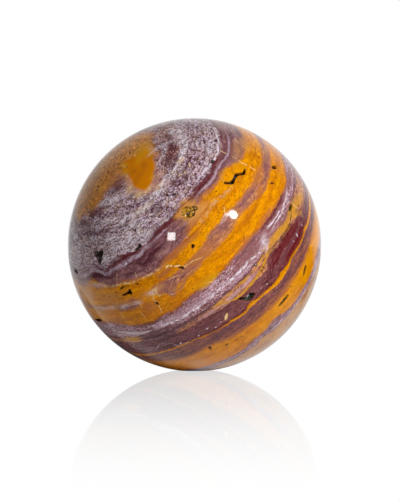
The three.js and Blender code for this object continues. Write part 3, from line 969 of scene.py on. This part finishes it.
def rounded(outline):
    """An outline with each corner cut once, so that it looks worn and not drawn."""
    points = np.array(outline, float)
    following = np.roll(points, -1, axis=0)
    cuts = [points * (1 - share) + following * share for share in (CORNER_CUT, 1 - CORNER_CUT)]
    return np.stack(cuts, 1).reshape(-1, 2)


# The greatest distance that is kept, and how far from its middle a hollow can reach, in millimetres
FAR = 3.0
HOLLOW_REACH = 5.5


def hollow_depths(outward):
    """For each direction: how deep inside the nearest hollow's outline it is, and which hollow that is."""
    depths = np.full(len(outward), -FAR)
    nearest = np.zeros(len(outward), int)
    for number, hollow in enumerate(HOLLOWS):
        axes = np.array(axes_at(hollow.turn, hollow.height / RADIUS_MM))
        local = outward @ axes.T * RADIUS_MM
        close = np.flatnonzero((np.linalg.norm(local[:, :2], axis=1) < HOLLOW_REACH) & (local[:, 2] > 0))
        inside = clear_depth(local[close, :2], rounded(hollow.outline))
        better = inside > depths[close]
        depths[close[better]] = inside[better]
        nearest[close[better]] = number
    return depths, nearest


def oval_reach(spots, ovals):
    """How far out of the nearest oval each spot is: 0 at its middle, 1 on its edge."""
    reach = np.full(len(spots), np.inf)
    for turn, level, half_length, half_width, *tilt in ovals:
        local = spots @ np.array(axes_at(turn, level)).T
        angle = math.radians(sum(tilt))
        along = local[:, 0] * math.cos(angle) + local[:, 1] * math.sin(angle)
        up = local[:, 1] * math.cos(angle) - local[:, 0] * math.sin(angle)
        out = np.where(local[:, 2] > 0, np.hypot(along / half_length, up / half_width), np.inf)
        reach = np.minimum(reach, out)
    return reach


def oval_gap(spots, ovals):
    """How far each spot is outside the nearest oval, in millimetres; below 0 inside it."""
    gap = np.full(len(spots), FAR)
    for oval_places in ovals:
        narrow = min(oval_places[2:4])
        gap = np.minimum(gap, (oval_reach(spots, (oval_places,)) - 1) * narrow)
    return gap


def line_gap(spots, lines):
    """How far each spot is outside the nearest line, in millimetres; below 0 inside it."""
    gap = np.full(len(spots), FAR)
    for half_width, *places in lines:
        corners = np.array([direction(*place) for place in places]) * RADIUS_MM
        for start, end in zip(corners, corners[1:]):
            edge = end - start
            share = np.clip((spots - start) @ edge / (edge @ edge), 0, 1)
            off = np.linalg.norm(spots - start - share[:, None] * edge, axis=1)
            gap = np.minimum(gap, off - half_width)
    return gap


# The sway of the drawn marks: its seed, its scale and its reach in millimetres
SWAY_SEED = 1
SWAY_SCALE = 14
SWAY = 0.35


def swayed(outward):
    """The spots on the ball, moved a little to and fro so that what is drawn on them wavers."""
    noise.seed_set(SWAY_SEED)
    sway = np.array([noise.noise_vector(Vector(way) * SWAY_SCALE)[:] for way in outward.tolist()])
    return outward * RADIUS_MM + sway * SWAY


def mark_fields(outward):
    """The fields that the small marks are drawn from."""
    spots = swayed(outward)
    fields = {name: line_gap(spots, veins.lines) for name, veins in VEINS.items()}
    fields |= {name: oval_gap(spots, grains.ovals) for name, grains in GRAINS.items()}
    fields["crystals"] = line_gap(spots, CRYSTAL_GLINTS.lines)
    return fields


def patch_fields(outward):
    """The fields that the soft patches and the orbs are drawn from."""
    spots = swayed(outward)
    fields = {name: oval_reach(spots, patches.ovals) for name, patches in PATCHES.items()}
    axes = np.array(axes_at(*CAP_PATCH_PLACE))
    fields["cap_patch"] = 1 - clear_depth(spots @ axes.T[:, :2], CAP_PATCH) / CAP_PATCH_DEPTH
    fields["orb"] = oval_reach(spots, [(turn, level, radius, radius) for turn, level, radius in ORBS])
    return fields


def directions_of(bm):
    return np.array([(v.co - BALL_CENTRE).normalized()[:] for v in bm.verts])


# How near to a hollow's outline or a small mark the mesh is split again, in millimetres, for each round
BALL_SUBDIVISIONS = 7
SPLIT_REACHES = (0.8, 0.45, 0.22)
MARK_REACH_SHARE = 0.8


def split_mesh():
    """An even net of triangles, split finer round the hollows and the small marks."""
    bm = bmesh.new()
    middle = Matrix.Translation(BALL_CENTRE)
    bmesh.ops.create_icosphere(bm, subdivisions=BALL_SUBDIVISIONS, radius=BALL_RADIUS, matrix=middle)
    for reach in SPLIT_REACHES:
        outward = directions_of(bm)
        depths, _ = hollow_depths(outward)
        near = np.abs(depths) < reach if reach == SPLIT_REACHES[-1] else depths > -reach
        for gap in mark_fields(outward).values():
            near |= gap < reach * MARK_REACH_SHARE
        bm.verts.index_update()
        edges = [e for e in bm.edges if near[e.verts[0].index] and near[e.verts[1].index]]
        bmesh.ops.subdivide_edges(bm, edges=edges, cuts=1, use_grid_fill=True)
        bmesh.ops.triangulate(bm, faces=[f for f in bm.faces if len(f.verts) > 3])
    return bm


# A hollow's walls, in millimetres: how wide they are, how ragged their line is, and how far the lining
# shows past them. Its floor rises and falls by a share of its depth
WALL_WIDTH = 0.3
WALL_RAGGEDNESS = 0.06
WALL_SCALE = 60
LINING_MARGIN = 0.06
FLOOR_RELIEF = 0.35
FLOOR_SCALE = 45


def smooth(share):
    """0 below 0, 1 above 1 and a smooth slope between."""
    share = min(max(share, 0), 1)
    return share * share * (3 - 2 * share)


def bumpiness(way, scale):
    """Fractal noise on the ball, about -1 to 1."""
    return noise.fractal(Vector(way) * scale, 1.0, 2.0, 3)


def ball_mesh():
    """The ball, with its hollows sunk into it, its foot cut flat and its marks' fields on its points."""
    bm = split_mesh()
    outward = directions_of(bm)
    depths, nearest = hollow_depths(outward)
    lining = bm.verts.layers.float_color.new("lining")
    for vertex, way, inside, number in zip(bm.verts, outward, depths, nearest):
        hollow = HOLLOWS[number]
        past_wall = inside + bumpiness(way, WALL_SCALE) * WALL_RAGGEDNESS
        floor = 1 + FLOOR_RELIEF * bumpiness(way, FLOOR_SCALE)
        sunk = hollow.depth * smooth(past_wall / WALL_WIDTH + 0.5) * floor * MM
        vertex.co = BALL_CENTRE + Vector(way) * (BALL_RADIUS - sunk)
        vertex.co.z = max(vertex.co.z, REST_HEIGHT)
        vertex[lining] = (*hollow.lining, smooth((past_wall + LINING_MARGIN) / WALL_WIDTH + 0.5))
    mesh = bpy.data.meshes.new("jasper_ball")
    bm.to_mesh(mesh)
    bm.free()
    for name, values in (mark_fields(outward) | patch_fields(outward)).items():
        field = mesh.attributes.new(name, "FLOAT", "POINT")
        field.data.foreach_set("value", np.minimum(values, FAR).astype(np.float32))
    mesh.shade_smooth()
    return mesh


def stone_colour(name, description, *screen_colour):
    """A property that holds one of the stone's colours."""
    default = rgb(*screen_colour)
    return FloatVectorProperty(
        name=name, description=description, default=default, size=3, min=0, max=1, subtype="COLOR")


def number(name, description, default, **limits):
    """A property that holds one number."""
    return FloatProperty(name=name, description=description, default=default, **limits)


class JasperSettings(bpy.types.PropertyGroup):
    """The stone's colours and its finish."""

    orange: stone_colour("Orange", "The brightest orange layers", 232, 150, 0)
    deep_orange: stone_colour("Deep orange", "Clouds in the orange layers", 204, 120, 4)
    amber: stone_colour("Amber", "The yellower stripes", 212, 150, 22)
    ochre: stone_colour("Ochre", "The orange cap", 220, 152, 70)
    brown: stone_colour("Brown", "The cap's darker clouds", 194, 126, 62)
    sand: stone_colour("Sand", "Brownish clouds in the orange layers", 206, 148, 84)
    tan: stone_colour("Tan", "The lowest orange layers", 210, 156, 98)
    russet: stone_colour("Russet", "Red-brown rims and lines", 150, 76, 24)
    rose: stone_colour("Rose", "The brownish pink lenses", 170, 102, 64)
    copper: stone_colour("Copper", "Their paler clouds", 208, 140, 84)
    blush: stone_colour("Blush", "The palest pinkish stone", 196, 142, 122)
    deep_red: stone_colour("Deep red", "The dark red stripes", 98, 16, 20)
    maroon: stone_colour("Maroon", "Dark stripes between the layers", 98, 42, 46)
    dark_plum: stone_colour("Dark plum", "The darkest purple", 78, 38, 45)
    plum: stone_colour("Plum", "Purple layers", 112, 68, 74)
    rosy_plum: stone_colour("Rosy plum", "Reddish purple", 140, 88, 88)
    mauve: stone_colour("Mauve", "Greyish purple", 150, 108, 112)
    orchid: stone_colour("Orchid", "Warm pale purple", 198, 164, 178)
    lilac: stone_colour("Lilac", "Pale purple layers", 190, 166, 182)
    frost: stone_colour("Frost", "Pale grains in the speckled layer", 218, 204, 220)
    pale: stone_colour("Pale", "White quartz grains and lines", 232, 220, 228)
    cream: stone_colour("Cream", "Creamy veins", 238, 202, 140)
    black: stone_colour("Black", "Dark specks", 26, 16, 6)
    polish: number("Polish", "Roughness of the polished face", 0.05, min=0, max=1, subtype="FACTOR")
    relief: number("Relief", "Height of the faint ripples that polishing leaves, in mm", 0.0004, min=0)
    refraction: number("Refraction", "Index of refraction of quartz", 1.54, min=1)


PALETTE = [
    name for name, made in JasperSettings.__annotations__.items() if made.keywords.get("subtype") == "COLOR"]


class StudioSettings(bpy.types.PropertyGroup):
    """The floor, lights and camera."""

    floor_width: number("Floor width", "Side of the square floor", 6, unit="LENGTH")
    mirror: number(
        "Mirror", "How strongly the floor mirrors the ball at its foot", 0.34, min=0, max=1, subtype="FACTOR")
    mirror_reach: number("Mirror reach", "How far out the mirror image has faded", 0.32, unit="LENGTH")
    front_light: number("Front light", "Soft light from the room behind the camera", 0.08, min=0)
    dark_room: number("Dark room", "Brightness of that room in the ball's polish", 0.02, min=0)
    floor_tone: number(
        "Floor tone", "How much light the floor throws back", 0.75, min=0, max=1, subtype="FACTOR")
    bounce: number("Bounce", "Light that the floor throws up under the ball", 0.16, min=0)
    key_lamp: number("Key lamp", "Power of the round main lamp", 12, min=0, unit="POWER")
    key_glow: number("Key glow", "Power of the main lamp's soft edge", 0.8, min=0, unit="POWER")
    side_lamp: number("Side lamp", "Power of the small lamp beside it", 0.08, min=0, unit="POWER")
    window: number("Window", "Power of the square lamp", 1, min=0, unit="POWER")
    camera_distance: number("Camera distance", "From the ball's centre", 0.6, unit="LENGTH")
    lens: number("Lens", "Focal length in mm", 168.2, min=1)


class JASPER_OT_ball(bpy.types.Operator):
    """Make the jasper ball with its hollows and its banded stone"""

    bl_idname = "jasper.ball"
    bl_label = "Jasper ball"

    def execute(self, context):
        ball = bpy.data.objects.new("jasper_ball", ball_mesh())
        context.scene.collection.objects.link(ball)
        ball.data.materials.append(jasper_material(context.scene.jasper))
        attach(ball, BODY)
        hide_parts(NODE)
        return {"FINISHED"}


# How bright the room is at the left, how much brighter it is at the right, and the soft light at the back
ROOM_LEFT = 0.6
ROOM_GAIN = 0.35
BACK_LIGHT = 0.8


def studio_world(settings):
    """White all round for the camera. The ball mirrors a dim room that turns white behind it."""
    world = bpy.data.worlds.new("studio")
    world.use_nodes = True
    recipe = Recipe(world.node_tree)
    way = recipe.node("ShaderNodeTexCoord", output="Generated")
    behind = recipe.dot(way, BACK)
    side = recipe.rise(recipe.dot(way, RIGHT), "room_right") * ROOM_GAIN + ROOM_LEFT
    white = recipe.rise(behind, "room_white")
    mirrored = (recipe.rise(behind, "room") * side + settings.dark_room) * (1 - white) + white
    spread = recipe.rise(behind, "soft_light") * (BACK_LIGHT - settings.front_light) + settings.front_light
    seen = recipe.light_path("Is Camera Ray")
    glossy = recipe.light_path("Is Glossy Ray")
    for_stone = mirrored * glossy + spread * (1 - glossy)
    strength = for_stone * (1 - seen) + seen
    light = recipe.node("ShaderNodeBackground", {}, {"Color": WHITE, "Strength": strength})
    recipe.node("ShaderNodeOutputWorld", {}, {"Surface": light})
    return world


# The ball's shadow on the floor: the way it falls, the way across it, how far off its middle lies, half
# its length and half its width in metres, how dark it is at the ball and how much lighter it gets
SHADOW_WAY = (-0.57, 0.82, 0)
SHADOW_ACROSS = (0.82, 0.57, 0)
SHADOW_MIDDLE = 0.066
SHADOW_HALF_LENGTH = 0.074
SHADOW_HALF_WIDTH = 0.0325
SHADOW_DEPTH = 0.92
SHADOW_LOSS = 0.5

# The lit floor round the ball's foot: how far in metres its glow reaches to the front and to the sides,
# its brightness there and at most, and how dark the painted shade at the foot is. Then the way in which the
# far floor is lit
GLOW_TO_FRONT = 0.022
GLOW_TO_SIDES = 0.045
GLOW = 0.95
GLOW_LIMIT = 0.66
FOOT_SHADE_DEPTH = 0.9
FAR_WAY = (-0.3, 1, 0)
FAR_BRIGHTNESS = 0.62


def floor_shadow(recipe, place, distance):
    """How much of the floor's light the ball's shadow takes away."""
    along = (recipe.dot(place, SHADOW_WAY) - SHADOW_MIDDLE) / SHADOW_HALF_LENGTH
    across = recipe.dot(place, SHADOW_ACROSS) / SHADOW_HALF_WIDTH
    shadow = 1 - recipe.rise(along * along + across * across, "shadow_edge")
    return shadow * (SHADOW_DEPTH - recipe.rise(distance, "shadow_fade") * SHADOW_LOSS)


def mirrored_floor(recipe, place, distance):
    """How bright the floor is in the ball's polish: dim towards the camera, dark in the ball's shadow."""
    right = recipe.dot(place, RIGHT)
    back = recipe.dot(place, BACK)
    glow = (back / GLOW_TO_FRONT - abs(right) / GLOW_TO_SIDES).math("EXPONENT") * GLOW
    # Painted shade: the floor in the polish is darker at the ball's foot, on its left side
    foot = (1 - recipe.rise(distance, "foot")) * (1 - recipe.rise(right, "foot_left"))
    near = glow.math("MINIMUM", GLOW_LIMIT) * (1 - foot * FOOT_SHADE_DEPTH)
    outward = recipe.vector("NORMALIZE", place)
    far = recipe.rise(recipe.dot(outward, FAR_WAY), "far_floor") * FAR_BRIGHTNESS
    share = recipe.rise(distance, "far_start")
    return (near * (1 - share) + far * share) * (1 - floor_shadow(recipe, place, distance))


def floor_material(settings):
    """White, with a mirror image that fades away from the ball, and dim where the ball mirrors it."""
    material = bpy.data.materials.new("pale_floor")
    material.use_nodes = True
    recipe = Recipe(material.node_tree)
    place = recipe.node("ShaderNodeTexCoord", output="Object")
    distance = recipe.vector("LENGTH", recipe.vector("MULTIPLY", place, (1, 1, 0)), output="Value")
    share = (1 - recipe.step(distance, 0.0, settings.mirror_reach)) * settings.mirror
    paper = recipe.node("ShaderNodeEmission", {}, {"Color": WHITE, "Strength": 1.0})
    gloss = recipe.node("ShaderNodeBsdfGlossy", {}, {"Color": WHITE, "Roughness": 0.0})
    seen_floor = recipe.node("ShaderNodeMixShader", {}, {0: share, 1: paper, 2: gloss})
    paint = recipe.node("ShaderNodeBsdfDiffuse", {}, {"Color": (*(settings.floor_tone,) * 3, 1)})
    bounce = (1 - recipe.rise(distance, "bounce")) * settings.bounce
    underside = recipe.node("ShaderNodeEmission", {}, {"Strength": bounce})
    matt = recipe.node("ShaderNodeAddShader", {}, {0: paint, 1: underside})
    mirrored = recipe.node("ShaderNodeEmission", {}, {"Strength": mirrored_floor(recipe, place, distance)})
    glossy = recipe.light_path("Is Glossy Ray")
    lit = recipe.node("ShaderNodeMixShader", {}, {0: glossy, 1: matt, 2: mirrored})
    seen = recipe.light_path("Is Camera Ray")
    surface = recipe.node("ShaderNodeMixShader", {}, {0: seen, 1: lit, 2: seen_floor})
    recipe.node("ShaderNodeOutputMaterial", {}, {"Surface": surface})
    return material


def add_floor(scene, settings):
    half = settings.floor_width / 2
    mesh = bpy.data.meshes.new("floor")
    corners = [(-half, -half, 0), (half, -half, 0), (half, half, 0), (-half, half, 0)]
    mesh.from_pydata(corners, [], [(0, 1, 2, 3)])
    mesh.materials.append(floor_material(settings))
    floor = bpy.data.objects.new("floor", mesh)
    scene.collection.objects.link(floor)


# The lamps: an azimuth from the front, to the right, and an elevation in degrees, a size in metres and a
# shape. Each stands at the same distance from the ball's centre
Lamp = namedtuple("Lamp", "azimuth elevation size shape")
LAMPS = {
    "key_lamp": Lamp(37.6, 25, 0.1, "DISK"),
    "key_glow": Lamp(37.2, 25.2, 0.16, "DISK"),
    "side_lamp": Lamp(31.5, 25.6, 0.05, "SQUARE"),
    "window": Lamp(-20.1, 7.1, 0.14, "SQUARE"),
}
LAMP_DISTANCE = 1.2

# How far the camera stands to the right of the ball's centre and below it, in metres
CAMERA_RIGHT = 0.00141
CAMERA_BELOW = 0.00136


def add_lamp(scene, name, power):
    """A lamp that faces the ball."""
    place = LAMPS[name]
    away = way_to(place.azimuth, place.elevation)
    lamp = bpy.data.lights.new(name, "AREA")
    lamp.shape = place.shape
    lamp.size = place.size
    lamp.energy = power
    holder = bpy.data.objects.new(name, lamp)
    holder.location = BALL_CENTRE + away * LAMP_DISTANCE
    holder.rotation_euler = away.to_track_quat("Z", "Y").to_euler()
    holder.visible_camera = False
    scene.collection.objects.link(holder)


def add_camera(scene, settings):
    """A level camera in front of the ball."""
    lens = bpy.data.cameras.new("camera")
    lens.lens = settings.lens
    camera = bpy.data.objects.new("camera", lens)
    camera.location = (CAMERA_RIGHT, -settings.camera_distance, BALL_CENTRE.z - CAMERA_BELOW)
    camera.rotation_euler = (math.radians(90), 0, 0)
    scene.collection.objects.link(camera)
    scene.camera = camera


class JASPER_OT_studio(bpy.types.Operator):
    """Lay the floor, light the ball and set up the camera"""

    bl_idname = "jasper.studio"
    bl_label = "Studio"

    def execute(self, context):
        scene = context.scene
        settings = scene.jasper_studio
        scene.world = studio_world(settings)
        scene.view_settings.view_transform = "Standard"
        add_floor(scene, settings)
        for name in LAMPS:
            add_lamp(scene, name, getattr(settings, name))
        add_camera(scene, settings)
        return {"FINISHED"}


class JASPER_PT_panel(bpy.types.Panel):
    """Lists the pieces and their settings"""

    bl_idname = "JASPER_PT_panel"
    bl_label = "Ocean jasper sphere"
    bl_space_type = "VIEW_3D"
    bl_region_type = "UI"
    bl_category = "Jasper"

    def draw(self, context):
        layout = self.layout
        for settings, operator in (
            (context.scene.jasper, JASPER_OT_ball),
            (context.scene.jasper_studio, JASPER_OT_studio),
        ):
            for name in settings.__annotations__:
                layout.prop(settings, name)
            layout.operator(operator.bl_idname)


CLASSES = (JasperSettings, StudioSettings, JASPER_OT_ball, JASPER_OT_studio, JASPER_PT_panel)


def register():
    for cls in CLASSES:
        bpy.utils.register_class(cls)
    bpy.types.Scene.jasper = PointerProperty(type=JasperSettings)
    bpy.types.Scene.jasper_studio = PointerProperty(type=StudioSettings)


def unregister():
    del bpy.types.Scene.jasper_studio
    del bpy.types.Scene.jasper
    for cls in reversed(CLASSES):
        bpy.utils.unregister_class(cls)


def main():
    register()
    bpy.ops.jasper.studio()
    bpy.ops.jasper.ball()


if __name__ == "__main__":
    main()
